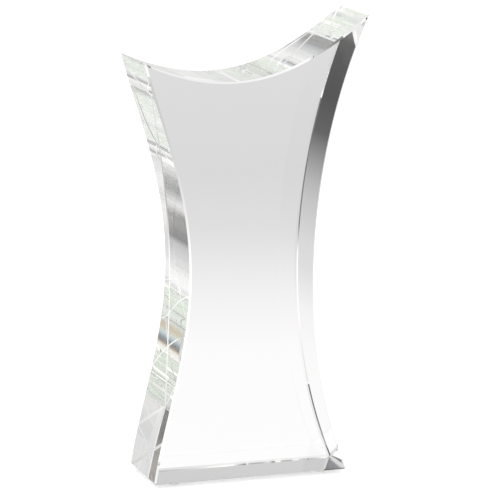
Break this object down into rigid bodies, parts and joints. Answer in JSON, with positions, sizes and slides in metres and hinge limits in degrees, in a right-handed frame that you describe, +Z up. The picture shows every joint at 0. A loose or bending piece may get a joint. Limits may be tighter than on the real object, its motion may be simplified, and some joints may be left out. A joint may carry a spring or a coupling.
{
  "type": "crystal award",
  "caption": "Free-standing polished crystal award: an upright slab with hollow flanks and a hollow top that climbs to a taller right horn, on small clear bumper feet.",
  "frame": {"origin": "on the desk, half-way between the tips of the two horns and half-way through the thickness; the base reaches a little further to the left of it than to the right", "axes": "+Z up; the front face looks along -Y; +X towards the taller horn, which is on the right as seen from the front"},
  "size_m": [0.1146, 0.0428, 0.2305],
  "materials": {
    "crystal": "optically polished on every face, clear, with a faint green cast in its depth",
    "clear_bumper": "clear soft polyurethane, smooth, slightly hazy"
  },
  "bodies": {
    "root": {"crystal_block": "crystal", "bumper_front_left": "clear_bumper", "bumper_front_right": "clear_bumper", "bumper_rear_left": "clear_bumper", "bumper_rear_right": "clear_bumper"}
  },
  "joints": []
}
